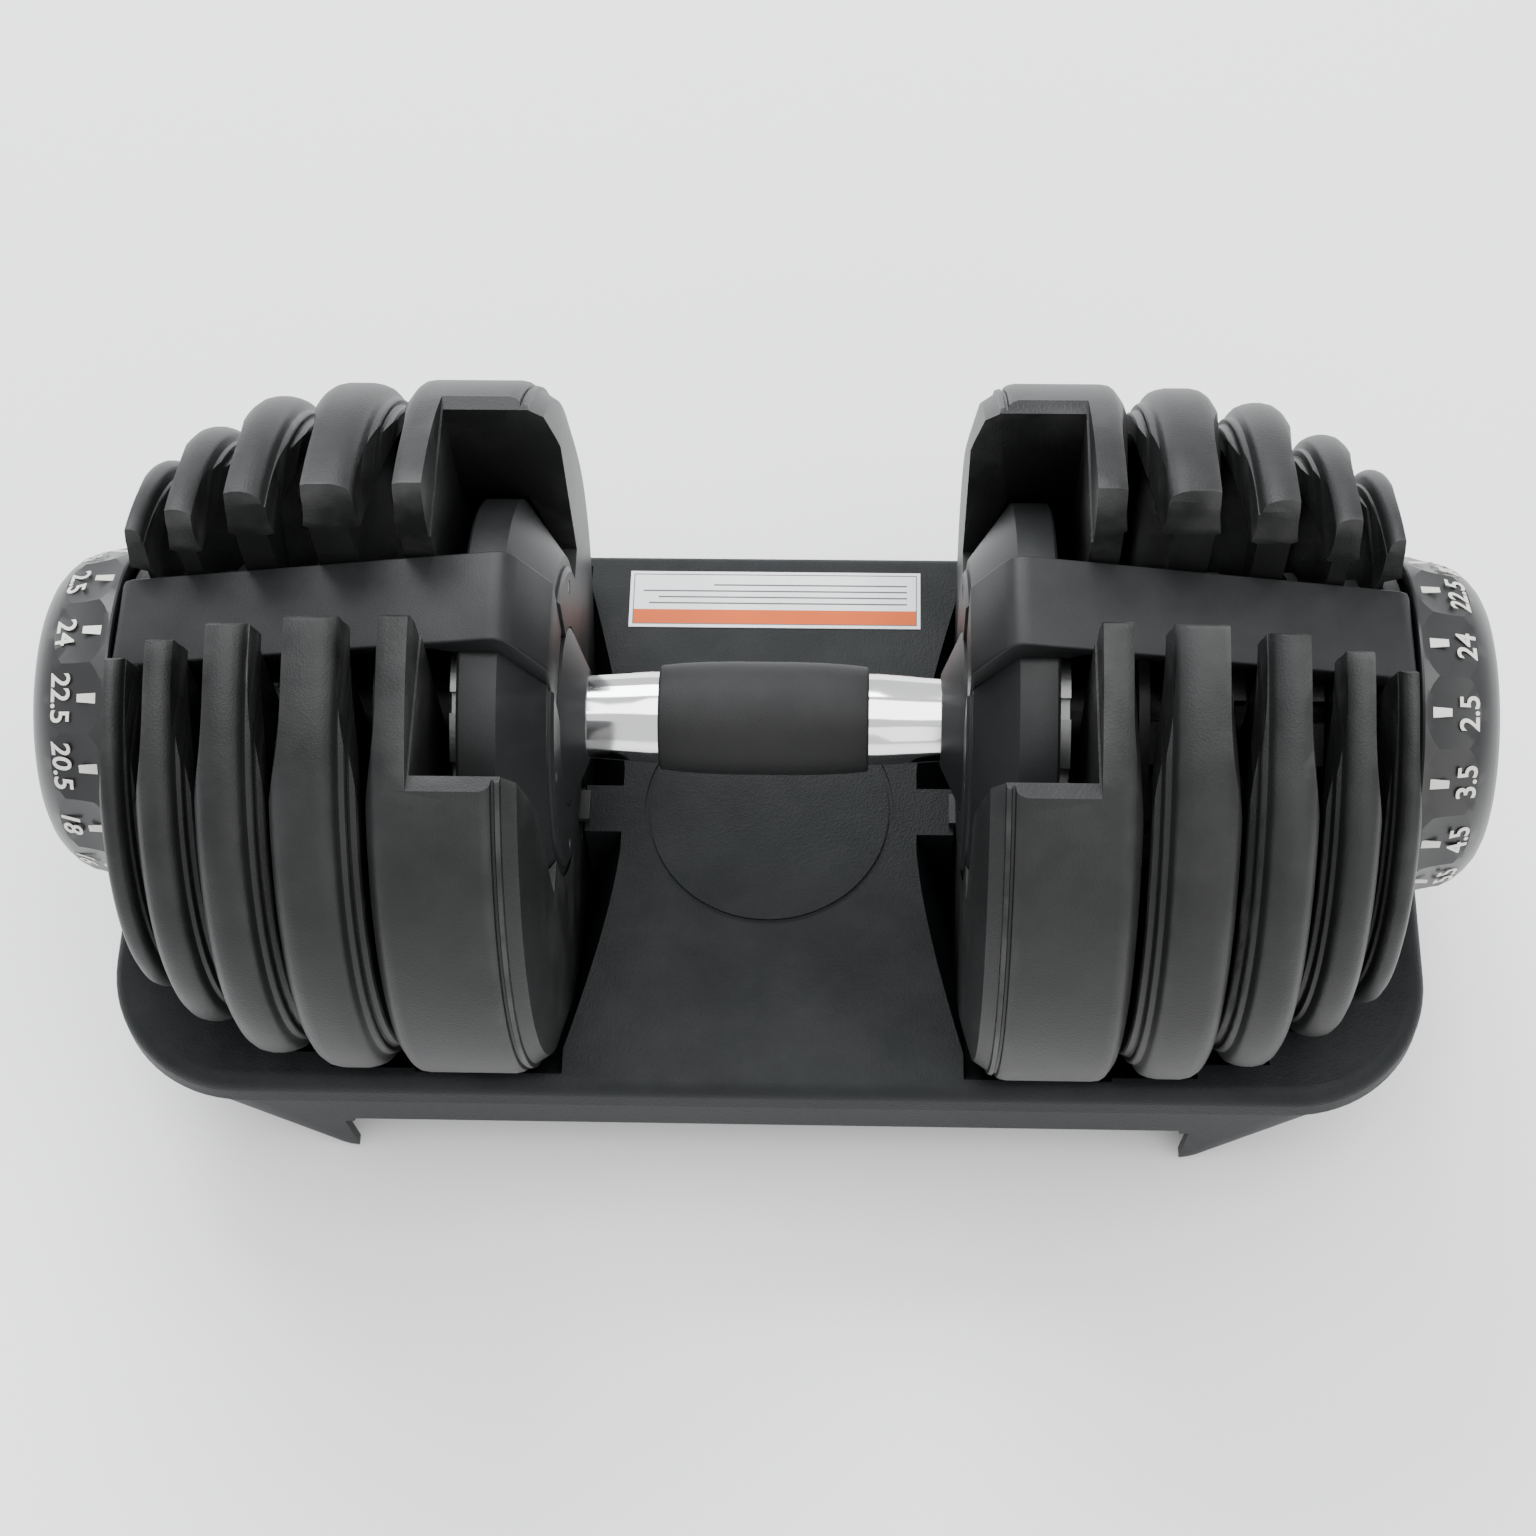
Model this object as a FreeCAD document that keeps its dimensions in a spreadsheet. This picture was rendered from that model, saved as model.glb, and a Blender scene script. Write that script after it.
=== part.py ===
import FreeCAD, Part
import math
import os
import re

import Sketcher

# Adjustable dumbbell on its cradle. X runs along the handle, Y to the back, Z up.
# The handle's right half is built first; the left half is the same half turned half
# a turn about Z, which is how the real pieces are shared between the two ends.

doc = FreeCAD.newDocument("dumbbell")

SIZES = {
    # handle line
    "axis_h": 130.5, "tube_r": 12.1, "tube_swell": 1.3, "grip_wall": 3.2, "grip_end_wall": 1.9,
    "grip_half": 30.5, "swell_half": 33, "collar_in": 51.5, "collar_r": 24, "collar_nose": 1.3,
    "rod_r": 5, "fit": 0.06, "gap": 0.5,
    # hub housing
    "hub_in": 59, "hub_chamfer": 71, "hub_out": 82, "hub_r": 63.5, "hub_face_r": 47,
    "hub_flat": 7, "hub_wall": 3,
    # bridge and its end bracket
    "bridge_half": 14, "bridge_rise": 6, "bridge_drop": 16.8, "bridge_t": 5,
    "bracket_in": 173.5, "bracket_out": 180, "bracket_r": 45,
    # dial
    "dial_in": 181.5, "dial_out": 206, "dial_r": 49, "dial_end_r": 38, "dial_wall": 4,
    # selector discs
    "disc_r": 44, "disc_t": 3, "lug_out_r": 43, "lug_in_r": 38, "lug_reach": 3.5,
    "web_gap": 7, "wheel_r": 47, "notch_d": 4.5, "sleeve_r": 9,
    # plates, inner to outer
    "plate_rise": -7.3, "slot_half": 15.5, "rim_t": 15, "rim_round": 4,
    "rad1": 102, "rad2": 101, "rad3": 97, "rad4": 88, "rad5": 78,
    "rim_in1": 66, "rim_in2": 104.5, "rim_in3": 130, "rim_in4": 151.5, "rim_in5": 169.5,
    "rim_out1": 102, "rim_out2": 127.8, "rim_out3": 148.5, "rim_out4": 166.5, "rim_out5": 179,
    "web_in1": 90, "web_in2": 112, "web_in3": 135, "web_in4": 156.5, "web_in5": 170,
    "web_out1": 98.5, "web_out2": 123, "web_out3": 144, "web_out4": 161.5, "web_out5": 172.5,
    "nose_x": 58.5, "nose_r": 88, "hub_gap": 1.2, "ledge": 73.5, "horn_depth": 32, "horn_blend": 22,
    "horn_in2": 5, "horn_in3": 4, "horn_in4": 4.5, "horn_in5": 2,
    "horn_out1": 3.5, "horn_out2": 4.3, "horn_out3": 3.5, "horn_out4": 3.4, "horn_out5": 2.5, "tip_round": 5,
    "tab_half": 5, "tab_h": 6, "tab_reach": 3.5,
    # cradle
    "tray_l": 400, "tray_w": 189, "tray_r": 42, "tray_top": 70, "tray_part": 59, "shell": 4,
    "base_l": 300, "base_w": 177, "base_r": 20, "foot_h": 3, "foot_r": 8, "foot_x": 139.5, "foot_y": 72,
    "well_gap": 1.5, "well_in": 60, "well_out": 180.5, "well_lip": 46, "well_lip_r": 55, "rest_half": 8,
    "arch_half": 131, "arch_h": 34.5,
    "side_arch_half": 48, "boss_x": 24, "boss_y": 83.5, "boss_r": 5, "screw_r": 1.9,
    "ring_r": 39, "ring_w": 1.6, "ring_d": 0.8,
}

sheet = doc.addObject("Spreadsheet::Sheet", "sizes")
sheet.Label = "sizes"
for row, (alias, size) in enumerate(SIZES.items(), 1):
    sheet.set(f"A{row}", alias)
    sheet.set(f"B{row}", str(size))
    sheet.setAlias(f"B{row}", alias)
doc.recompute()

WORD = re.compile(r"[a-z][a-z_]*[0-9]?")
nodes = []


def bound(text):
    """A formula in the sheet's own words, with each word pointed at its cell."""
    return WORD.sub(lambda m: f"<<sizes>>.{m[0]}" if m[0] in SIZES else m[0], str(text))


def val(text):
    """The formula's value now, for shapes that are made by Part functions."""
    cells = {alias: float(sheet.get(alias)) for alias in SIZES}
    total = doc.getObject("sizes").evalExpression(bound(text)) if text not in cells else cells[text]
    return float(getattr(total, "Value", total))


def put(obj, x=0, y=0, z=0, axis=(0, 0, 1), turn=0):
    """Places an object: its turn is fixed, its position follows the sheet."""
    obj.Placement = FreeCAD.Placement(
        FreeCAD.Vector(0, 0, 0), FreeCAD.Rotation(FreeCAD.Vector(*axis), turn)
    )
    for name, text in (("x", x), ("y", y), ("z", z)):
        obj.setExpression(f"Placement.Base.{name}", bound(text))
    return obj


def box(x0, x1, y0, y1, z0, z1):
    """A block between two limits on each axis."""
    obj = doc.addObject("Part::Box", "block")
    obj.setExpression("Length", bound(f"({x1}) - ({x0})"))
    obj.setExpression("Width", bound(f"({y1}) - ({y0})"))
    obj.setExpression("Height", bound(f"({z1}) - ({z0})"))
    return put(obj, x0, y0, z0)


def rod(r, x0, x1, y=0, z="axis_h"):
    """A cylinder along X."""
    obj = doc.addObject("Part::Cylinder", "rod")
    obj.setExpression("Radius", bound(r))
    obj.setExpression("Height", bound(f"({x1}) - ({x0})"))
    return put(obj, x0, y, z, (0, 1, 0), 90)


def post(r, x, y, z0, z1):
    """A cylinder along Z."""
    obj = doc.addObject("Part::Cylinder", "post")
    obj.setExpression("Radius", bound(r))
    obj.setExpression("Height", bound(f"({z1}) - ({z0})"))
    return put(obj, x, y, z0)


def taper(r0, r1, x0, x1):
    """A cone along the handle line."""
    obj = doc.addObject("Part::Cone", "taper")
    obj.setExpression("Radius1", bound(r0))
    obj.setExpression("Radius2", bound(r1))
    obj.setExpression("Height", bound(f"({x1}) - ({x0})"))
    return put(obj, x0, 0, "axis_h", (0, 1, 0), 90)


def wedge(x0, x1, top0, top1, z0, z1):
    """A block across the plates whose X limits change from its foot to its top."""
    obj = doc.addObject("Part::Wedge", "wedge")
    limits = {
        "Xmin": x0, "Xmax": x1, "X2min": top0, "X2max": top1, "Ymin": 0, "Ymax": f"({z1}) - ({z0})",
        "Zmin": "-rad1 - 5", "Zmax": "rad1 + 5", "Z2min": "-rad1 - 5", "Z2max": "rad1 + 5",
    }
    for name, text in limits.items():
        obj.setExpression(name, bound(text))
    return put(obj, 0, 0, z0, (1, 0, 0), 90)


def horn_trims(k):
    """Above its shoulders a plate is thinner on both faces, and its two tips are rounded."""
    low = f"axis_h + plate_rise + rad{k} - horn_depth"
    full, high = f"{low} + horn_blend", "axis_h + rad1 + 20"
    trims = []
    if k > 1:
        face = f"rim_in{k}"
        trims.append(wedge(f"{face} - 2", f"{face} - 0.01", f"{face} - 2", f"{face} + horn_in{k}", low, full))
        trims.append(box(f"{face} - 2", f"{face} + horn_in{k}", "-rad1 - 5", "rad1 + 5", full, high))
    face = f"rim_out{k}"
    trims.append(wedge(f"{face} + 0.01", f"{face} + 2", f"{face} - horn_out{k}", f"{face} + 2", low, full))
    trims.append(box(f"{face} - horn_out{k}", f"{face} + 2", "-rad1 - 5", "rad1 + 5", full, high))
    x0, x1 = (f"rim_in{k} - 1", f"rim_out{k} + 1") if k > 1 else ("web_in1 - 2", "rim_out1 + 1")
    tip = f"(axis_h + plate_rise + sqrt(rad{k} ^ 2 - (slot_half + tip_round) ^ 2) - tip_round)"
    for y0, y1, yc in (
        ("slot_half - 1", "slot_half + tip_round", "slot_half + tip_round"),
        ("-slot_half - tip_round", "1 - slot_half", "-slot_half - tip_round"),
    ):
        corner = box(x0, x1, y0, y1, tip, f"{tip} + tip_round + 8")
        trims.append(cut(corner, rod("tip_round", f"{x0} - 1", f"{x1} + 1", yc, tip)))
    return trims


def fuse(*parts):
    obj = doc.addObject("Part::MultiFuse", "joined")
    obj.Shapes = list(parts)
    obj.Refine = True
    return obj


def cut(base, *tools):
    obj = doc.addObject("Part::Cut", "cut")
    obj.Base = base
    obj.Tool = tools[0] if len(tools) == 1 else fuse(*tools)
    return obj


def overlap(a, b):
    obj = doc.addObject("Part::Common", "overlap")
    obj.Base = a
    obj.Tool = b
    return obj


def group(*parts):
    """Identical loose pieces kept as separate solids of one node."""
    obj = doc.addObject("Part::Compound", "group")
    obj.Links = list(parts)
    return obj


def turned(points, z="axis_h"):
    """A body turned about a line along X, from (x, radius) corners given as formulas."""
    body = doc.addObject("PartDesign::Body", "turned")
    plane = next(f for f in body.Origin.OriginFeatures if f.Role == "XZ_Plane")
    line = next(f for f in body.Origin.OriginFeatures if f.Role == "X_Axis")
    sketch = body.newObject("Sketcher::SketchObject", "profile")
    sketch.AttachmentSupport = [(plane, "")]
    sketch.MapMode = "FlatFace"
    now = [FreeCAD.Vector(val(x), val(r), 0) for x, r in points]
    count = len(now)
    for i in range(count):
        sketch.addGeometry(Part.LineSegment(now[i], now[(i + 1) % count]), False)
    for i in range(count):
        sketch.addConstraint(Sketcher.Constraint("Coincident", i, 2, (i + 1) % count, 1))
    for i, (x, r) in enumerate(points):
        for kind, text, size in (("DistanceX", x, now[i].x), ("DistanceY", r, now[i].y)):
            n = sketch.addConstraint(Sketcher.Constraint(kind, -1, 1, i, 1, size))
            sketch.setExpression(f"Constraints[{n}]", bound(text))
    spin = body.newObject("PartDesign::Revolution", "spin")
    spin.Profile = sketch
    spin.ReferenceAxis = (line, [""])
    spin.Angle = 360
    body.Tip = spin
    return put(body, 0, 0, z)


def node(name, obj):
    obj.Label = name
    nodes.append(obj)
    return obj


def both(name, obj):
    """A node at the right end, and its twin at the left end half a turn about Z away."""
    node(f"{name}_right", obj)
    twin = doc.addObject("Part::Compound", "twin")
    twin.Links = [obj]
    twin.Placement = FreeCAD.Placement(
        FreeCAD.Vector(0, 0, 0), FreeCAD.Rotation(FreeCAD.Vector(0, 0, 1), 180)
    )
    node(f"{name}_left", twin)


# ---------------------------------------------------------------- handle
# One chrome tube runs from hub to hub, swelling slightly under the rubber grip. Its
# ends stop 1 mm short of the notched wheels, whose sleeves turn on the same rod.
tube_end = "web_in1 - web_gap - 1"
tube = turned([
    (f"-({tube_end})", "rod_r + fit"), (tube_end, "rod_r + fit"), (tube_end, "tube_r"),
    ("collar_in", "tube_r"), ("swell_half", "tube_r + tube_swell"),
    ("-swell_half", "tube_r + tube_swell"), ("-collar_in", "tube_r"), (f"-({tube_end})", "tube_r"),
])
node("handle_tube", tube)

# The grip is a moulded sleeve, thickest in the middle, on the swell of the tube.
grip = turned([
    ("-grip_half", "tube_r + tube_swell"), ("grip_half", "tube_r + tube_swell"),
    ("grip_half", "tube_r + tube_swell + grip_end_wall - 0.8"), ("grip_half - 0.8", "tube_r + tube_swell + grip_end_wall"),
    ("grip_half * 0.6", "tube_r + tube_swell + grip_wall - 0.45"), ("grip_half * 0.3", "tube_r + tube_swell + grip_wall"), ("-grip_half * 0.3", "tube_r + tube_swell + grip_wall"),
    ("-grip_half * 0.6", "tube_r + tube_swell + grip_wall - 0.45"), ("0.8 - grip_half", "tube_r + tube_swell + grip_end_wall"),
    ("-grip_half", "tube_r + tube_swell + grip_end_wall - 0.8"),
])
node("handle_grip", grip)

# Each collar is a plastic cone that closes the hub around the tube.
collar = turned([
    ("collar_in", "tube_r + fit"), ("hub_in", "tube_r + fit"), ("hub_in", "collar_r + 2"),
    ("hub_in - 1.5", "collar_r + 2"), ("hub_in - 2.5", "collar_r"), ("collar_in", "tube_r + collar_nose"),
])
both("collar", collar)

# ---------------------------------------------------------------- bridge
# A channel that lies over the plate slots from the hub's chamfer to the end bracket.
bridge_side = doc.addObject("PartDesign::Body", "bridge_side")
plane = next(f for f in bridge_side.Origin.OriginFeatures if f.Role == "XZ_Plane")
outline = bridge_side.newObject("Sketcher::SketchObject", "outline")
outline.AttachmentSupport = [(plane, "")]
outline.MapMode = "FlatFace"
BRIDGE_OUTLINE = [
    ("hub_in - 0.8", "collar_r + 3"), ("hub_in + 1", "collar_r + 3"), ("hub_in + 1", "hub_face_r - 2"),
    ("hub_chamfer", "hub_r - 1.5"), ("hub_out + 3", "hub_r - 1.5"),
    ("hub_out + 7", "hub_r + bridge_rise - bridge_t - 1"),
    ("bracket_in - 0.3", "hub_r + bridge_rise - bridge_drop - bridge_t - 1"),
    ("bracket_in - 0.3", "bracket_r + 0.3"), ("bracket_out", "bracket_r + 0.3"),
    ("bracket_out", "hub_r + bridge_rise - bridge_drop - 3.5"), ("bracket_out - 3", "hub_r + bridge_rise - bridge_drop"),
    ("hub_chamfer + 2", "hub_r + bridge_rise"), ("hub_chamfer - 4.2", "hub_r + bridge_rise - 3"),
    ("hub_in - 0.8", "hub_face_r + 6"),
]
corners = [FreeCAD.Vector(val(x), val(z), 0) for x, z in BRIDGE_OUTLINE]
for i, corner in enumerate(corners):
    outline.addGeometry(Part.LineSegment(corner, corners[(i + 1) % len(corners)]), False)
for i in range(len(corners)):
    outline.addConstraint(Sketcher.Constraint("Coincident", i, 2, (i + 1) % len(corners), 1))
for i, (x, z) in enumerate(BRIDGE_OUTLINE):
    for kind, text, size in (("DistanceX", x, corners[i].x), ("DistanceY", z, corners[i].y)):
        n = outline.addConstraint(Sketcher.Constraint(kind, -1, 1, i, 1, size))
        outline.setExpression(f"Constraints[{n}]", bound(text))
channel = bridge_side.newObject("PartDesign::Pad", "channel")
channel.Profile = outline
channel.SideType = "Symmetric"
channel.setExpression("Length", bound("2 * bridge_half"))
bridge_side.Tip = channel
put(bridge_side, 0, 0, "axis_h")
both("bridge", bridge_side)

# The end bracket closes the row of plates and is the outer bearing of the disc sleeve.
bracket = turned([
    ("bracket_in", "sleeve_r + fit"), ("bracket_in", "bracket_r - 2"), ("bracket_in + 2", "bracket_r"),
    ("bracket_out", "bracket_r"), ("bracket_out", "bracket_r - 6"), ("bracket_out - 2", "bracket_r - 8"),
    ("bracket_out - 2", "sleeve_r + 4"), ("bracket_out", "sleeve_r + 4"), ("bracket_out", "sleeve_r + fit"),
])
both("end_bracket", bracket)

# The core rod is fixed in the tube and the bracket; everything that turns rides on it.
core_rod = turned([
    ("hub_in - 12", 0), ("dial_out - 5", 0), ("dial_out - 5", "rod_r - 1"),
    ("dial_out - 6", "rod_r"), ("hub_in - 12", "rod_r"),
])
both("core_rod", core_rod)

# ---------------------------------------------------------------- hub housing
# A hollow moulding: flat inner face, wide chamfer, short rim and open back. Its sides
# are cut flat so that the hub can drop down into the innermost plate.
hub_skin = turned([
    ("hub_in", "tube_r + fit"), ("hub_in", "hub_face_r"), ("hub_chamfer", "hub_r"),
    ("hub_out - 1", "hub_r"), ("hub_out", "hub_r - 1"), ("hub_out", "hub_r - hub_wall"),
    ("hub_chamfer + 1", "hub_r - hub_wall"), ("hub_in + hub_wall", "hub_face_r - 1"),
    ("hub_in + hub_wall", "tube_r + fit"),
])
side_walls = [
    overlap(
        rod("hub_r - 1", "hub_chamfer", "hub_out"),
        box("hub_chamfer", "hub_out", y0, y1, "axis_h - hub_r", "axis_h + hub_r"),
    )
    for y0, y1 in (("hub_r - hub_flat - hub_wall", "hub_r - hub_flat"), ("hub_flat - hub_r", "hub_wall + hub_flat - hub_r"))
]
side_trims = [
    box("hub_in - 1", "hub_out + 1", y0, y1, "axis_h - hub_r", "axis_h + hub_r")
    for y0, y1 in (("hub_r - hub_flat", "hub_r + 1"), ("-hub_r - 1", "hub_flat - hub_r"))
]
bridge_seat = box(
    "hub_in - 1", "hub_out + 1", "-bridge_half - 0.15", "bridge_half + 0.15",
    "axis_h + hub_r - 1.7", "axis_h + hub_r + 5",
)
bridge_tongue_seat = box(
    "hub_in - 1", "hub_in + 1.2", "-bridge_half - 0.15", "bridge_half + 0.15",
    "axis_h + collar_r + 2.5", "axis_h + hub_r + 5",
)
yoke_slot = box("hub_in - 1", "hub_out + 1", -8.6, 8.6, "tray_top - 1", "axis_h - 44")
seat_block = box("hub_chamfer - 1", "hub_out - 2", -6, 6, "axis_h + wheel_r + 10", "axis_h + hub_r - 2")
seats = [bridge_seat, bridge_tongue_seat, yoke_slot, bridge_side]
both("hub_housing", cut(fuse(hub_skin, *side_walls, seat_block), *side_trims, *seats))

# Cover ring on the hub's inner face, held by four screws.
cover_screws = [
    (f"cos({a} deg) * 38", f"axis_h + sin({a} deg) * 38") for a in (35, 145, 215, 325)
]
cover_ring = turned([
    ("hub_in - 1.6", "collar_r + 2.4"), ("hub_in", "collar_r + 2.4"), ("hub_in", "hub_face_r - 3"),
    ("hub_in - 0.8", "hub_face_r - 3"), ("hub_in - 1.6", "hub_face_r - 4.5"),
])
ring_opening = box(
    "hub_in - 3", "hub_in + 1", "-bridge_half - 0.3", "bridge_half + 0.3", "axis_h", "axis_h + hub_r"
)
screw_holes = [rod(2.1, "hub_in - 3", "hub_in + 1", y, z) for y, z in cover_screws]
both("hub_cover", cut(cover_ring, ring_opening, *screw_holes))
both("cover_screws", group(*[
    cut(
        rod(1.9, "hub_in - 1.4", "hub_in - 0.02", y, z),
        box("hub_in - 2", "hub_in - 0.9", f"({y}) - 1.2", f"({y}) + 1.2", f"({z}) - 0.25", f"({z}) + 0.25"),
    )
    for y, z in cover_screws
]))

# ---------------------------------------------------------------- lock
# A sheet steel yoke hangs around the tube inside the hub. Its foot rests on the
# cradle and holds its tooth clear of the notched wheel; a spring pushes it down.
wheel_x = "web_in1 - web_gap"
yoke_in, yoke_out = f"{wheel_x} - 3", f"{wheel_x} - 1"
yoke_plate = box(yoke_in, yoke_out, -8, 8, "tray_top + 0.4", "axis_h + wheel_r + 5")
yoke_window = box(
    f"{wheel_x} - 4", wheel_x, "-tube_r - 1", "tube_r + 1", "axis_h - tube_r - 8", "axis_h + tube_r + 3"
)
yoke_rails = [
    box(yoke_in, yoke_out, y0, y1, "axis_h - tube_r - 14", "axis_h + tube_r + 12")
    for y0, y1 in ((7.5, "tube_r + 8"), ("-tube_r - 8", -7.5))
]
yoke_foot = box("hub_in - 3", yoke_out, -5, 5, "tray_top + 0.4", "tray_top + 2.6")
yoke_tooth = box(yoke_in, f"{wheel_x} + 4.5", -2.6, 2.6, "axis_h + wheel_r + 0.8", "axis_h + wheel_r + 5")
both("lock_yoke", cut(fuse(yoke_plate, *yoke_rails, yoke_foot, yoke_tooth), yoke_window))

coil = doc.addObject("Part::Helix", "coil")
coil.Pitch = 1.1
coil.Height = 3.6
coil.Radius = 2
wire = doc.addObject("Part::Circle", "wire")
wire.Radius = 0.35
wire.Placement = FreeCAD.Placement(
    FreeCAD.Vector(2, 0, 0), FreeCAD.Rotation(FreeCAD.Vector(1, 0, 0), 90)
)
spring = doc.addObject("Part::Sweep", "spring")
spring.Sections = [wire]
spring.Spine = (coil, ["Edge1"])
spring.Solid = True
spring.Frenet = True
both("lock_spring", put(spring, f"{wheel_x} - 4.5", 0, "axis_h + wheel_r + 5.7"))

# The notched wheel is the first selector disc; its notches index the fifteen settings.
# ---------------------------------------------------------------- selector discs
# Setting n (0 to 14) stands at the top when the dial has turned it there, and the lug
# that carries a plate is then straight below. These are the plates carried at each.
CARRIED = ["", "5", "4", "45", "3", "35", "34", "345", "24", "23", "12", "124", "123", "1234", "12345"]
STEP = 360 / len(CARRIED)
for k in range(1, 6):
    face = f"(web_in{k} - web_gap)"
    lugs = []
    for n, plates in enumerate(CARRIED):
        if str(k) not in plates:
            continue
        lug = doc.addObject("Part::Box", "lug")
        lug.setExpression("Length", bound("lug_reach + 0.5"))
        lug.setExpression("Width", bound("12"))
        lug.setExpression("Height", bound("lug_out_r - lug_in_r"))
        around = 180 + STEP * (n + 1)
        out = FreeCAD.Rotation(FreeCAD.Vector(1, 0, 0), around)
        lug.Placement = FreeCAD.Placement(FreeCAD.Vector(0, 0, 0), out)
        lug.setExpression("Placement.Base.x", bound(f"{face} + disc_t - 0.5"))
        lug.setExpression(
            "Placement.Base.y", bound(f"-6 * cos({around} deg) - lug_in_r * sin({around} deg)")
        )
        lug.setExpression(
            "Placement.Base.z", bound(f"axis_h - 6 * sin({around} deg) + lug_in_r * cos({around} deg)")
        )
        lugs.append(lug)
    outer = "wheel_r" if k == 1 else "disc_r"
    disc = rod(outer, face, f"{face} + disc_t")
    holes = [rod("sleeve_r + fit", f"{face} - 1", f"{face} + disc_t + 1")]
    if k == 1:
        for n in range(len(CARRIED)):
            notch = doc.addObject("Part::Box", "notch")
            notch.setExpression("Length", bound("disc_t + 2"))
            notch.setExpression("Width", bound("6"))
            notch.setExpression("Height", bound("notch_d + 2"))
            around = STEP * n
            notch.Placement = FreeCAD.Placement(
                FreeCAD.Vector(0, 0, 0), FreeCAD.Rotation(FreeCAD.Vector(1, 0, 0), around)
            )
            depth = "(wheel_r - notch_d)"
            notch.setExpression("Placement.Base.x", bound(f"{face} - 1"))
            notch.setExpression(
                "Placement.Base.y", bound(f"-3 * cos({around} deg) - {depth} * sin({around} deg)")
            )
            notch.setExpression(
                "Placement.Base.z", bound(f"axis_h - 3 * sin({around} deg) + {depth} * cos({around} deg)")
            )
            holes.append(notch)
        wheel = cut(disc, *holes)
        both("disc_1", fuse(wheel, *lugs))
    else:
        both(f"disc_{k}", fuse(cut(disc, *holes), *lugs))

# The sleeve keys the discs to the dial and turns on the core rod.
sleeve = turned([
    ("web_in1 - web_gap", "rod_r + fit"), ("dial_in + 1.5", "rod_r + fit"),
    ("dial_in + 1.5", "sleeve_r"), ("web_in1 - web_gap", "sleeve_r"),
])
both("disc_sleeve", sleeve)

# ---------------------------------------------------------------- dial
# A cup that turns on the core rod outside the bracket, with a domed outer edge.
dial = turned([
    ("dial_in + 1.5", "rod_r + fit"), ("dial_in + 1.5", "rod_r + 7"), ("dial_in + 6", "rod_r + 7"),
    ("dial_out - 3 - dial_wall", "dial_end_r - dial_wall"), ("dial_in", "dial_r - dial_wall"),
    ("dial_in", "dial_r"), ("dial_in + 9", "dial_r - 0.6"), ("dial_out - 8", "dial_r - 3.2"),
    ("dial_out - 3", "dial_r - 7.5"), ("dial_out - 0.6", "dial_end_r + 1"), ("dial_out", "dial_end_r - 1.5"),
    ("dial_out - 3", "dial_end_r - 4"), ("dial_out - 3", "rod_r + 9"), ("dial_out - 3.5", "rod_r + fit"),
])
cap_seat = rod("rod_r + 8", "dial_out - 5.5", "dial_out")
both("dial", cut(dial, cap_seat))
nut = rod("rod_r + 7.6", "dial_out - 5.1", "dial_out - 2.8")
both("dial_cap", cut(nut, rod("rod_r + fit", "dial_out - 6", "dial_out - 4.9")))

# ---------------------------------------------------------------- weight plates
# Plates 2 to 5: a web with a thick rolled rim, open at the top by a slot that lets the
# discs and the core rod drop in. Above the slot's shoulders the rim is thinner, so
# neighbouring plates stand apart there.
for k in range(2, 6):
    face, back = f"rim_in{k}", f"rim_out{k}"
    rad = f"rad{k}"
    blank = turned([
        (f"web_in{k}", 0), (f"web_in{k}", f"{rad} - rim_t"), (f"{face} + 1.5", f"{rad} - rim_t + 2"),
        (face, f"{rad} - rim_t + 4"), (face, f"{rad} - rim_round - 1"),
        (f"{face} + rim_round * 0.35", f"{rad} - rim_round * 0.35"), (f"{face} + rim_round", rad),
        (f"{back} - rim_round", rad), (f"{back} - rim_round * 0.35", f"{rad} - rim_round * 0.35"),
        (back, f"{rad} - rim_round - 1"), (back, f"{rad} - rim_t + 3"),
        (f"web_out{k}", f"{rad} - rim_t"), (f"web_out{k}", 0),
    ], "axis_h + plate_rise")
    slot = [
        box(f"{face} - 1", f"{back} + 1", "-slot_half", "slot_half", "axis_h", f"axis_h + {rad} + 20"),
        rod("slot_half", f"{face} - 1", f"{back} + 1"),
    ]
    tab = box(
        f"web_in{k} - tab_reach", f"web_in{k} + 1", "-tab_half", "tab_half",
        "axis_h - lug_in_r + 0.8", "axis_h - lug_in_r + 0.8 + tab_h",
    )
    both(f"plate_{k}", fuse(cut(blank, *slot, *horn_trims(k)), tab))

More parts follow.
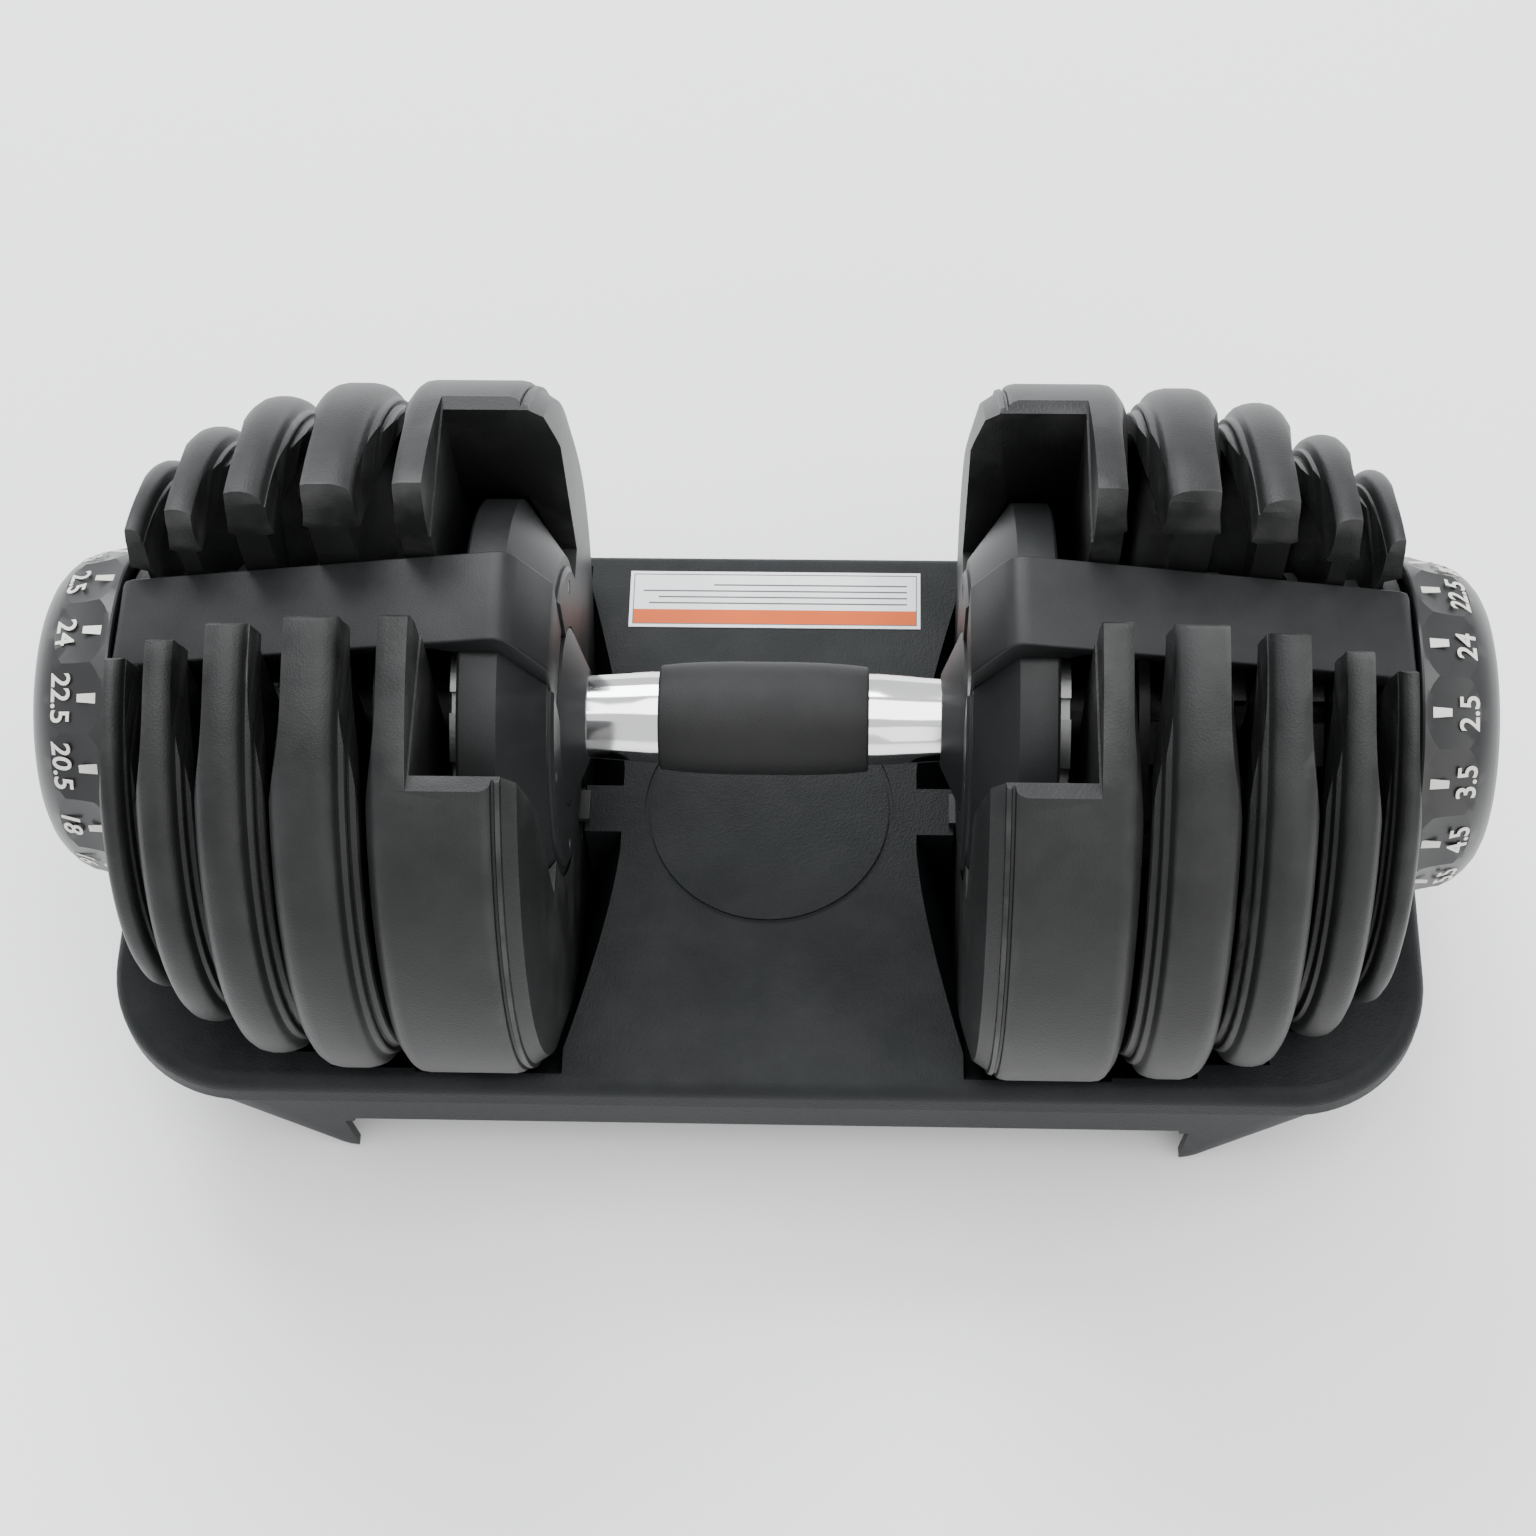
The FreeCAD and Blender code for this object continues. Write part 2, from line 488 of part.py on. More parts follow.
# Plate 1, the innermost, is deep enough to wrap under the hub, and is open above it.
deep = turned([
    ("nose_x", 0), ("nose_x", "nose_r - 3"), ("nose_x + 0.8", "nose_r"), ("nose_x + 3.5", "nose_r + 8.5"),
    ("rim_in1", "rad1 - 2.5"),
    ("rim_in1 + 1.2", "rad1 - 2.2"), ("rim_in1 + 2.4", "rad1"), ("rim_out1 - rim_round", "rad1"),
    ("rim_out1 - 1", "rad1 - 1.5"), ("rim_out1", "rad1 - rim_round"), ("rim_out1", "rad1 - rim_t + 3"),
    ("web_out1", "rad1 - rim_t"), ("web_out1", 0),
], "axis_h + plate_rise")
hub_pocket = [
    rod("hub_r + hub_gap", "hub_chamfer - 0.6", "web_in1"),
    taper("hub_face_r - 0.2", "hub_r + hub_gap", "hub_in - 0.6", "hub_chamfer - 0.6"),
    box("hub_in - 1", "web_in1", "hub_flat - hub_r - hub_gap", "hub_r - hub_flat + hub_gap", "axis_h", "axis_h + rad1 + 20"),
    box("hub_in - 1", "web_in1 - 1.5", "-rad1 - 5", "rad1 + 5", "axis_h + ledge", "axis_h + rad1 + 20"),
    box("hub_in - 1", "hub_out + 0.5", -9.2, 9.2, "tray_top - 4", "axis_h"),
]
slot_1 = [
    box("web_in1 - 1", "rim_out1 + 1", "-slot_half", "slot_half", "axis_h", "axis_h + rad1 + 20"),
    rod("slot_half", "web_in1 - 1", "rim_out1 + 1"),
]
tab_1 = box(
    "web_in1 - tab_reach", "web_in1 + 1", "-tab_half", "tab_half",
    "axis_h - lug_in_r + 0.8", "axis_h - lug_in_r + 0.8 + tab_h",
)
both("plate_1", fuse(cut(deep, *hub_pocket, *slot_1, *horn_trims(1)), tab_1))

# ---------------------------------------------------------------- cradle
# The cradle's two mouldings have rounded plans and drafted walls, which the Part
# primitives don't cover, so they are lofted between rounded rectangles.


def rounded(length, width, r, z):
    """A rounded rectangle's wire at height z."""
    x, y = length / 2, width / 2
    flat = Part.makePlane(length, width, FreeCAD.Vector(-x, -y, z))
    block = flat.extrude(FreeCAD.Vector(0, 0, 1))
    upright = [e for e in block.Edges if abs(e.BoundBox.ZLength - 1) < 1e-6]
    soft = block.makeFillet(r, upright)
    low = min(soft.Faces, key=lambda f: f.CenterOfMass.z)
    return low.OuterWire


def lofted(name, low, high):
    obj = doc.addObject("Part::Feature", name)
    obj.Shape = Part.makeLoft([rounded(*low), rounded(*high)], True, True)
    return obj


T = {alias: val(alias) for alias in SIZES}
top_block = lofted(
    "top_block",
    (T["tray_l"], T["tray_w"], T["tray_r"], T["tray_part"]),
    (T["tray_l"] - 1, T["tray_w"] - 1, T["tray_r"] - 0.5, T["tray_top"]),
)
crown = [
    e for e in top_block.Shape.Edges
    if e.BoundBox.ZMin > T["tray_top"] - 1e-3
]
top_block.Shape = top_block.Shape.makeFillet(5, crown)
top_hollow = lofted(
    "top_hollow",
    (T["tray_l"] - 8, T["tray_w"] - 8, T["tray_r"] - 4, T["tray_part"] - 1),
    (T["tray_l"] - 9, T["tray_w"] - 9, T["tray_r"] - 4.5, T["tray_top"] - T["shell"]),
)
WELL_EDGES = ["well_in"] + [f"(rim_in{k} - 0.5)" for k in (2, 3, 4, 5)] + ["well_out"]
wells = []
troughs = []
for end in (1, -1):
    for k in range(1, 6):
        x0, x1 = WELL_EDGES[k - 1], WELL_EDGES[k]
        t0 = f"{x0} - 3" if k == 1 else x0
        t1 = f"{x1} + 3" if k == 5 else f"{x1} + 3"
        wide = f"rad{k} + well_gap"
        if end < 0:
            x0, x1, t0, t1 = f"-({x1})", f"-({x0})", f"-({t1})", f"-({t0})"
        wells.append(rod(wide, x0, x1, 0, "axis_h + plate_rise"))
        troughs.append(overlap(
            rod(f"{wide} + 3", t0, t1, 0, "axis_h + plate_rise"),
            box(t0, t1, "-tray_w * 0.5 + 3", "tray_w * 0.5 - 3", 0, "tray_top - 2"),
        ))
# The wells' inner ends are conical lead-ins, and a narrow rest stands at each for the lock's foot.
for x0, x1, r0, r1 in (
    ("well_lip", "well_in + 0.1", "well_lip_r", "rad1 - 5"), ("-well_in - 0.1", "-well_lip", "rad1 - 5", "well_lip_r"),
):
    wells.append(taper(r0, r1, x0, x1))
    wells[-1].setExpression("Placement.Base.z", bound("axis_h + plate_rise"))
for x0, x1, r0, r1 in (
    ("well_lip - 3.4", "well_in + 1", "well_lip_r", "rad1 + well_gap + 3"),
    ("-well_in - 1", "3.4 - well_lip", "rad1 + well_gap + 3", "well_lip_r"),
):
    funnel = taper(r0, r1, x0, x1)
    funnel.setExpression("Placement.Base.z", bound("axis_h + plate_rise"))
    troughs.append(overlap(
        funnel, box("-tray_l * 0.5", "tray_l * 0.5", "-tray_w * 0.5 + 3", "tray_w * 0.5 - 3", 0, "tray_top - 2")
    ))
rests = [
    box(x0, x1, "-rest_half", "rest_half", "axis_h + plate_rise - nose_r", "tray_top")
    for x0, x1 in (("well_lip - 1", "nose_x - 1"), ("1 - nose_x", "1 - well_lip"))
]
dial_reliefs = [
    rod("dial_r + 1.3", x0, x1) for x0, x1 in (("bracket_in", "dial_out + 2"), ("-dial_out - 2", "-bracket_in"))
]
ring_groove = cut(
    post("ring_r", 0, 0, "tray_top - ring_d", "tray_top + 1"),
    post("ring_r - ring_w", 0, 0, "tray_top - ring_d - 1", "tray_top + 2"),
)
# The troughs stay clear of the skirt's sloping walls.
trough_room = fuse(
    lofted(
        "trough_room",
        (T["base_l"] - 8, T["base_w"] - 8, T["base_r"] - 4, T["foot_h"] - 1),
        (T["tray_l"] - 10, T["tray_w"] - 10, T["tray_r"] - 5, T["tray_part"]),
    ),
    box("5 - tray_l * 0.5", "tray_l * 0.5 - 5", "5 - tray_w * 0.5", "tray_w * 0.5 - 5", "tray_part - 0.1", "tray_top - 1"),
)
corners4 = [(sx, sy) for sx in (1, -1) for sy in (1, -1)]
top_bosses = [post("boss_r", f"{sx} * boss_x", f"{sy} * boss_y", 50, "tray_top - 1") for sx, sy in corners4]
boss_bores = [
    post("screw_r + fit", f"{sx} * boss_x", f"{sy} * boss_y", 49, "tray_top - 6") for sx, sy in corners4
]
tray_top = cut(
    fuse(cut(top_block, top_hollow), overlap(fuse(*troughs), trough_room), *top_bosses), *wells, *dial_reliefs, ring_groove, *boss_bores
)
node("tray_top", fuse(tray_top, *rests))

base_block = lofted(
    "base_block",
    (T["base_l"], T["base_w"], T["base_r"], T["foot_h"]),
    (T["tray_l"] - 3, T["tray_w"] - 3, T["tray_r"] - 1.5, T["tray_part"] - 0.2),
)
base_hollow = lofted(
    "base_hollow",
    (T["base_l"] - 7, T["base_w"] - 7, T["base_r"] - 3.5, T["foot_h"] - 1),
    (T["tray_l"] - 9, T["tray_w"] - 9, T["tray_r"] - 4.5, T["tray_part"]),
)
pads = [post("foot_r + 2", f"{sx} * foot_x", f"{sy} * foot_y", "foot_h", "foot_h + 6") for sx, sy in corners4]
base_bosses = [
    overlap(post("boss_r", f"{sx} * boss_x", f"{sy} * boss_y", 37.2, 49.8), base_block) for sx, sy in corners4
]
base_bores = [
    post("screw_r + 0.3", f"{sx} * boss_x", f"{sy} * boss_y", 30, 52) for sx, sy in corners4
] + [
    post("screw_r * 2 + 0.4", f"{sx} * boss_x", f"{sy} * boss_y", 30, 37.15) for sx, sy in corners4
]
arch_front = box("-arch_half", "arch_half", "-tray_w", "tray_w", 0, "arch_h - 3")
arch_soft = box("3 - arch_half", "arch_half - 3", "-tray_w", "tray_w", 0, "arch_h")
arch_side = box("-tray_l", "tray_l", "-side_arch_half", "side_arch_half", 0, "arch_h - 4")
base_shell = cut(base_block, base_hollow)
tray_base = cut(
    fuse(cut(base_shell, arch_front, arch_soft, arch_side), *pads, *base_bosses), *base_bores
)
node("tray_base", tray_base)

node("tray_feet", group(*[post("foot_r", f"{sx} * foot_x", f"{sy} * foot_y", 0, "foot_h - 0.02") for sx, sy in corners4]))
node("tray_screws", group(*[
    fuse(
        post("screw_r", f"{sx} * boss_x", f"{sy} * boss_y", 34.6, "tray_top - 8"),
        post("screw_r * 2", f"{sx} * boss_x", f"{sy} * boss_y", 34.6, 37.1),
    )
    for sx, sy in corners4
]))
node("tray_label", box(-47.3, 47.3, 65.8, 86.8, "tray_top + 0.01", "tray_top + 0.3"))

# ---------------------------------------------------------------- write
doc.recompute()
bad = [
    f"{o.Label}: {o.State}" for o in doc.Objects
    if any(word in o.State for word in ("Invalid", "Error"))
]
for obj in nodes:
    shape = obj.Shape
    if shape.isNull() or not shape.isValid() or not shape.Solids:
        bad.append(f"{obj.Label}: null or invalid shape")
if bad:
    raise SystemExit("\n".join(bad))
os.makedirs("parts", exist_ok=True)
for obj in nodes:
    obj.Shape.exportStep(f"parts/{obj.Label}.step")
    print(obj.Label, len(obj.Shape.Solids), round(obj.Shape.Volume / 1000, 1))
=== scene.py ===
import math

import bpy
from mathutils import Matrix, Vector


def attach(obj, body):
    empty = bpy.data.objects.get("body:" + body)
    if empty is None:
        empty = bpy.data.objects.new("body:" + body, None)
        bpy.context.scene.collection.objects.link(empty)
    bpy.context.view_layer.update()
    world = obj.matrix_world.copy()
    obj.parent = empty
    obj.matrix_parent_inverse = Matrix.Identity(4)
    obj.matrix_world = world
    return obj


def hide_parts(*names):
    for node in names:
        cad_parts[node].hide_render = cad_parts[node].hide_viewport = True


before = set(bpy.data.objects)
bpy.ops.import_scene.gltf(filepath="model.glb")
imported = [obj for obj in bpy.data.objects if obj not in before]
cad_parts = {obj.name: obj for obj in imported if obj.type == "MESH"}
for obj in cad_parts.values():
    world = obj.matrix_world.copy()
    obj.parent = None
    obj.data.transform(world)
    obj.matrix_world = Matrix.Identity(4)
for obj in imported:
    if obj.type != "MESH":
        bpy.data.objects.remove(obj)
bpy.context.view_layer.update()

MM = 0.001
SIDES = {"right": 0.0, "left": math.pi}

# ------------------------------------------------------------------ camera, floor and light
# The dumbbell stands on a plain pale floor in soft daylight, seen from the front and
# well above, with a longish lens.
camera_data = bpy.data.cameras.new("camera")
camera_data.sensor_width = 36
camera_data.lens = 64.4
camera = bpy.data.objects.new("camera", camera_data)
bpy.context.scene.collection.objects.link(camera)
camera.location = (0.0263, -0.3823, 0.8403)
camera.rotation_euler = (math.radians(27.298), math.radians(1.294), math.radians(1.392))
bpy.context.scene.camera = camera

bpy.ops.object.select_all(action="DESELECT")
bpy.ops.mesh.primitive_plane_add(size=9, location=(0, 0, -0.0005))
floor = bpy.context.object
floor.name = "floor"
floor_paint = bpy.data.materials.new("floor_paint")
floor_paint.use_nodes = True
floor_shader = floor_paint.node_tree.nodes["Principled BSDF"]
floor_shader.inputs["Base Color"].default_value = (0.93, 0.93, 0.93, 1)
floor_shader.inputs["Roughness"].default_value = 0.9
floor.data.materials.append(floor_paint)

world = bpy.data.worlds.new("sky")
bpy.context.scene.world = world
world.use_nodes = True
sky = world.node_tree.nodes["Background"]
sky.inputs["Color"].default_value = (0.97, 0.98, 1.0, 1)
sky.inputs["Strength"].default_value = 1.25
for name, place, size, watts, warmth in (
    ("window", (-0.5, 1.5, 1.7), 1.3, 60, (0.95, 0.98, 1.0)),
    ("ceiling", (0.3, -0.1, 2.2), 1.8, 48, (1.0, 1.0, 1.0)),
    ("room", (0.9, -1.8, 1.0), 1.6, 13, (1.0, 0.98, 0.95)),
):
    lamp = bpy.data.lights.new(name, "AREA")
    lamp.size = size
    lamp.energy = watts
    lamp.color = warmth
    holder = bpy.data.objects.new(name, lamp)
    bpy.context.scene.collection.objects.link(holder)
    holder.location = place
    holder.rotation_euler = (Vector((0, 0, 0.1)) - Vector(place)).to_track_quat("-Z", "Y").to_euler()


# ------------------------------------------------------------------ cradle
# Two mouldings of dark slate ABS with a fine leather grain: an upper tray with two
# stepped wells for the plates, and a lower skirt screwed on from below.
def group_tree(name, inputs, outputs):
    """An empty node group with named float sockets: inputs are (name, value)."""
    tree = bpy.data.node_groups.new(name, "ShaderNodeTree")
    for label, value in inputs:
        socket = tree.interface.new_socket(label, in_out="INPUT", socket_type="NodeSocketFloat")
        socket.default_value = value
    for label in outputs:
        tree.interface.new_socket(label, in_out="OUTPUT", socket_type="NodeSocketFloat")
    return tree, tree.nodes.new("NodeGroupInput"), tree.nodes.new("NodeGroupOutput")


def noise(tree, coords, scale, detail=3.0, rough=0.5):
    node = tree.nodes.new("ShaderNodeTexNoise")
    node.inputs["Scale"].default_value = scale
    node.inputs["Detail"].default_value = detail
    node.inputs["Roughness"].default_value = rough
    tree.links.new(coords, node.inputs["Vector"])
    return node.outputs["Fac"]


def ramp(tree, source, low, high):
    node = tree.nodes.new("ShaderNodeMapRange")
    node.inputs["From Min"].default_value = low
    node.inputs["From Max"].default_value = high
    tree.links.new(source, node.inputs["Value"])
    return node.outputs["Result"]


def mult(tree, a, b, kind="MULTIPLY"):
    node = tree.nodes.new("ShaderNodeMath")
    node.operation = kind
    for socket, value in ((node.inputs[0], a), (node.inputs[1], b)):
        if isinstance(value, (int, float)):
            socket.default_value = value
        else:
            tree.links.new(value, socket)
    return node.outputs[0]


# Grain: a moulded texture's height, coarse cells with fine pits between them.
grain_tree, g_in, g_out = group_tree("moulded_grain", [("Scale", 900.0), ("Pits", 0.4)], ["Height", "Mottle"])
g_at = grain_tree.nodes.new("ShaderNodeTexCoord").outputs["Object"]
g_cells = grain_tree.nodes.new("ShaderNodeTexVoronoi")
grain_tree.links.new(g_at, g_cells.inputs["Vector"])
grain_tree.links.new(g_in.outputs["Scale"], g_cells.inputs["Scale"])
g_fine = noise(grain_tree, g_at, 2600.0, 2.0)
g_high = mult(
    grain_tree, mult(grain_tree, g_cells.outputs["Distance"], 1.0),
    mult(grain_tree, g_fine, g_in.outputs["Pits"]), "ADD",
)
grain_tree.links.new(g_high, g_out.inputs["Height"])
grain_tree.links.new(noise(grain_tree, g_at, 26.0, 4.0), g_out.inputs["Mottle"])

# Edge wear: a mask of sharp corners, broken up by noise.
wear_tree, w_in, w_out = group_tree("edge_wear", [("Low", 0.52), ("High", 0.6), ("Patch", 60.0)], ["Wear"])
w_geo = wear_tree.nodes.new("ShaderNodeNewGeometry").outputs["Pointiness"]
w_at = wear_tree.nodes.new("ShaderNodeTexCoord").outputs["Object"]
w_map = wear_tree.nodes.new("ShaderNodeMapRange")
wear_tree.links.new(w_geo, w_map.inputs["Value"])
wear_tree.links.new(w_in.outputs["Low"], w_map.inputs["From Min"])
wear_tree.links.new(w_in.outputs["High"], w_map.inputs["From Max"])
w_patch = wear_tree.nodes.new("ShaderNodeTexNoise")
w_patch.inputs["Detail"].default_value = 5
wear_tree.links.new(w_at, w_patch.inputs["Vector"])
wear_tree.links.new(w_in.outputs["Patch"], w_patch.inputs["Scale"])
wear_tree.links.new(
    mult(wear_tree, w_map.outputs["Result"], ramp(wear_tree, w_patch.outputs["Fac"], 0.4, 0.65)),
    w_out.inputs["Wear"],
)

# Dust: a thin pale film that settles on faces that look up.
DUST_COLOR = (0.42, 0.42, 0.41)
dust_tree, d_in, d_out = group_tree("dust_film", [("Amount", 0.1)], ["Dust"])
d_norm = dust_tree.nodes.new("ShaderNodeSeparateXYZ")
dust_tree.links.new(dust_tree.nodes.new("ShaderNodeNewGeometry").outputs["Normal"], d_norm.inputs["Vector"])
d_at = dust_tree.nodes.new("ShaderNodeTexCoord").outputs["Object"]
d_up = ramp(dust_tree, d_norm.outputs["Z"], 0.2, 1.0)
d_spots = ramp(dust_tree, noise(dust_tree, d_at, 45.0, 6.0, 0.65), 0.35, 0.75)
dust_tree.links.new(
    mult(dust_tree, mult(dust_tree, d_up, d_spots), d_in.outputs["Amount"]), d_out.inputs["Dust"]
)


def finish(name, color, rough, grain=0.0, grain_scale=900.0, wear=0.0, wear_color=(0.2, 0.2, 0.2),
           dust=0.0, metal=0.0, rough_vary=0.08, mottle=0.12, specular=0.5):
    """A material: one Principled shader fed by the shared grain, wear and dust groups."""
    mat = bpy.data.materials.new(name)
    mat.use_nodes = True
    tree = mat.node_tree
    shader = tree.nodes["Principled BSDF"]
    shader.inputs["Metallic"].default_value = metal
    shader.inputs["Specular IOR Level"].default_value = specular

    def use(group, **values):
        node = tree.nodes.new("ShaderNodeGroup")
        node.node_tree = group
        for label, value in values.items():
            node.inputs[label].default_value = value
        return node

    def blend(a, b, factor):
        node = tree.nodes.new("ShaderNodeMix")
        node.data_type = "RGBA"
        for socket, value in ((node.inputs[6], a), (node.inputs[7], b)):
            if isinstance(value, tuple):
                socket.default_value = (*value, 1)
            else:
                tree.links.new(value, socket)
        tree.links.new(factor, node.inputs[0])
        return node.outputs[2]

    surface = use(grain_tree, Scale=grain_scale)
    darker = tuple(c * (1 - mottle) for c in color)
    lighter = tuple(min(1.0, c * (1 + mottle)) for c in color)
    shade = blend(darker, lighter, ramp(tree, surface.outputs["Mottle"], 0.35, 0.65))
    roughness = mult(tree, mult(tree, surface.outputs["Mottle"], rough_vary), rough - rough_vary / 2, "ADD")
    if wear:
        worn = use(wear_tree, Low=0.515, High=0.58)
        shade = blend(shade, wear_color, mult(tree, worn.outputs["Wear"], wear))
    if dust:
        film = use(dust_tree, Amount=dust)
        shade = blend(shade, DUST_COLOR, film.outputs["Dust"])
        roughness = mult(tree, roughness, mult(tree, film.outputs["Dust"], 0.5), "ADD")
    tree.links.new(shade, shader.inputs["Base Color"])
    tree.links.new(roughness, shader.inputs["Roughness"])
    if grain:
        bump = tree.nodes.new("ShaderNodeBump")
        bump.inputs["Strength"].default_value = 1.0
        bump.inputs["Distance"].default_value = grain * MM
        tree.links.new(surface.outputs["Height"], bump.inputs["Height"])
        tree.links.new(bump.outputs["Normal"], shader.inputs["Normal"])
    return mat


tray_plastic = finish(
    "tray_plastic", (0.0085, 0.0098, 0.0105), 0.52, grain=0.10, grain_scale=1400.0, dust=0.02,
    wear=0.1, wear_color=(0.06, 0.06, 0.06), specular=0.14,
)


def paint(node, mat):
    """Gives a CAD node one material on all its slots."""
    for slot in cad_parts[node].material_slots:
        slot.material = mat


for node in ("tray_top", "tray_base"):
    paint(node, tray_plastic)
foot_rubber = finish("foot_rubber", (0.02, 0.02, 0.02), 0.8, grain=0.05)
paint("tray_feet", foot_rubber)
screw_steel = finish("screw_steel", (0.42, 0.42, 0.43), 0.35, metal=1.0)
label_white = finish("label_white", (0.75, 0.76, 0.77), 0.4)
paint("tray_screws", screw_steel)
paint("tray_label", label_white)

# ------------------------------------------------------------------ handle
# One chromed steel tube, swelling a little towards its middle, with a rubber grip
# moulded on the swell. Its ends run into the hubs, which hold the selector's steel discs.
AXIS = 130.5
chrome = finish("chrome", (0.78, 0.78, 0.78), 0.09, metal=1.0, rough_vary=0.03, mottle=0.03)
grip_rubber = finish(
    "grip_rubber", (0.010, 0.010, 0.0105), 0.6, grain=0.05, grain_scale=2200.0, dust=0.02, specular=0.25,
)
hub_plastic = finish(
    "hub_plastic", (0.010, 0.0108, 0.0112), 0.46, grain=0.03, grain_scale=2600.0, dust=0.02,
    wear=0.1, wear_color=(0.06, 0.06, 0.06), specular=0.22,
)
disc_steel = finish("disc_steel", (0.22, 0.22, 0.22), 0.38, metal=1.0, grain=0.02)
black_steel = finish("black_steel", (0.03, 0.03, 0.03), 0.5, metal=0.6, grain=0.02)
dial_plastic = finish("dial_plastic", (0.009, 0.0092, 0.0096), 0.36, grain=0.01, dust=0.02)
plate_coat = finish(
    "plate_coat", (0.0095, 0.0098, 0.0100), 0.44, grain=0.06, grain_scale=1500.0, dust=0.03,
    wear=0.35, wear_color=(0.09, 0.09, 0.09), specular=0.22,
)
for side in SIDES:
    for node in ("collar", "hub_cover", "end_bracket", "dial_cap"):
        paint(f"{node}_{side}", hub_plastic)
    paint(f"disc_1_{side}", disc_steel)
    for node in ("disc_2", "disc_3", "disc_4", "disc_5", "disc_sleeve", "lock_yoke", "core_rod"):
        paint(f"{node}_{side}", black_steel)
    for node in ("cover_screws", "lock_spring"):
        paint(f"{node}_{side}", screw_steel)


def clear():
    """Leaves edit mode and selects nothing."""
    if bpy.context.object and bpy.context.object.mode != "OBJECT":
        bpy.ops.object.mode_set(mode="OBJECT")
    bpy.ops.object.select_all(action="DESELECT")


def pick(obj):
    clear()
    obj.select_set(True)
    bpy.context.view_layer.objects.active = obj


def trace(name, points, closed=True):
    """A chain of edges laid point by point, in mm; points are (x, y, z)."""
    clear()
    spots = [Vector(p) * MM for p in points]
    bpy.ops.mesh.primitive_plane_add(size=MM)
    obj = bpy.context.object
    obj.name = name
    bpy.ops.object.mode_set(mode="EDIT")
    bpy.ops.mesh.select_all(action="SELECT")
    bpy.ops.mesh.merge(type="CENTER")
    bpy.ops.transform.translate(value=spots[0])
    for here, there in zip(spots, spots[1:]):
        bpy.ops.mesh.extrude_region_move(TRANSFORM_OT_translate={"value": there - here})
    bpy.ops.mesh.select_all(action="SELECT")
    if closed:
        bpy.ops.mesh.edge_face_add()
    bpy.ops.object.mode_set(mode="OBJECT")
    return obj


def tidy(obj):
    pick(obj)
    bpy.ops.object.mode_set(mode="EDIT")
    bpy.ops.mesh.select_all(action="SELECT")
    bpy.ops.mesh.remove_doubles(threshold=0.00001)
    bpy.ops.mesh.normals_make_consistent(inside=False)
    bpy.ops.object.mode_set(mode="OBJECT")
    return obj


def revolve(name, profile, center_z, steps=128):
    """A body turned about a line along X at height center_z; profile is (x, radius) in mm."""
    loop = [(x, 0, center_z + r) for x, r in profile]
    obj = trace(name, [*loop, loop[0]], closed=False)
    pick(obj)
    bpy.ops.object.mode_set(mode="EDIT")
    bpy.ops.mesh.select_all(action="SELECT")
    bpy.ops.mesh.spin(
        steps=steps, angle=math.tau, center=(0, 0, center_z * MM), axis=(1, 0, 0), use_normal_flip=False
    )
    bpy.ops.object.mode_set(mode="OBJECT")
    return tidy(obj)


def prism(name, points, reach):
    """A closed outline pushed along the vector reach, in mm."""
    obj = trace(name, points)
    pick(obj)
    bpy.ops.object.mode_set(mode="EDIT")
    bpy.ops.mesh.select_all(action="SELECT")
    bpy.ops.mesh.extrude_region_move(TRANSFORM_OT_translate={"value": Vector(reach) * MM})
    bpy.ops.object.mode_set(mode="OBJECT")
    return tidy(obj)


def block(name, x0, x1, y0, y1, z0, z1):
    clear()
    bpy.ops.mesh.primitive_cube_add(
        size=1, location=((x0 + x1) / 2 * MM, (y0 + y1) / 2 * MM, (z0 + z1) / 2 * MM),
        scale=((x1 - x0) * MM, (y1 - y0) * MM, (z1 - z0) * MM),
    )
    obj = bpy.context.object
    obj.name = name
    bpy.ops.object.transform_apply(location=True, rotation=True, scale=True)
    return obj


def barrel(name, r, x0, x1, y, z, sides=96):
    """A cylinder along X."""
    clear()
    bpy.ops.mesh.primitive_cylinder_add(
        vertices=sides, radius=r * MM, depth=(x1 - x0) * MM,
        location=((x0 + x1) / 2 * MM, y * MM, z * MM), rotation=(0, math.pi / 2, 0),
    )
    obj = bpy.context.object
    obj.name = name
    bpy.ops.object.transform_apply(location=True, rotation=True, scale=True)
    return obj


def apply(obj, kind, **settings):
    pick(obj)
    mod = obj.modifiers.new(kind.lower(), kind)
    for label, value in settings.items():
        setattr(mod, label, value)
    bpy.ops.object.modifier_apply(modifier=mod.name)


def knock(obj, *cutters, operation="DIFFERENCE"):
    for cutter in cutters:
        apply(obj, "BOOLEAN", operation=operation, solver="EXACT", object=cutter)
        bpy.data.objects.remove(cutter)
    return obj


def soften(obj, width, segments=2, angle=32):
    apply(
        obj, "BEVEL", width=width * MM, segments=segments, limit_method="ANGLE",
        angle_limit=math.radians(angle), harden_normals=False, miter_outer="MITER_ARC",
    )
    return tidy(obj)


def adopt(obj, node, body, mat, smooth=38):
    """Makes the right-hand piece and its left twin, half a turn about Z away."""
    obj.data.materials.clear()
    obj.data.materials.append(mat)
    pick(obj)
    bpy.ops.object.shade_smooth_by_angle(angle=math.radians(smooth))
    obj.name = f"{node}_skin_right"
    pick(obj)
    bpy.ops.object.duplicate(linked=False)
    twin = bpy.context.object
    twin.name = f"{node}_skin_left"
    twin.rotation_euler = (0, 0, math.pi)
    bpy.ops.object.transform_apply(location=True, rotation=True, scale=True)
    for piece, side in ((obj, "right"), (twin, "left")):
        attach(piece, body.format(side=side))
        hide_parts(f"{node}_{side}")
    clear()


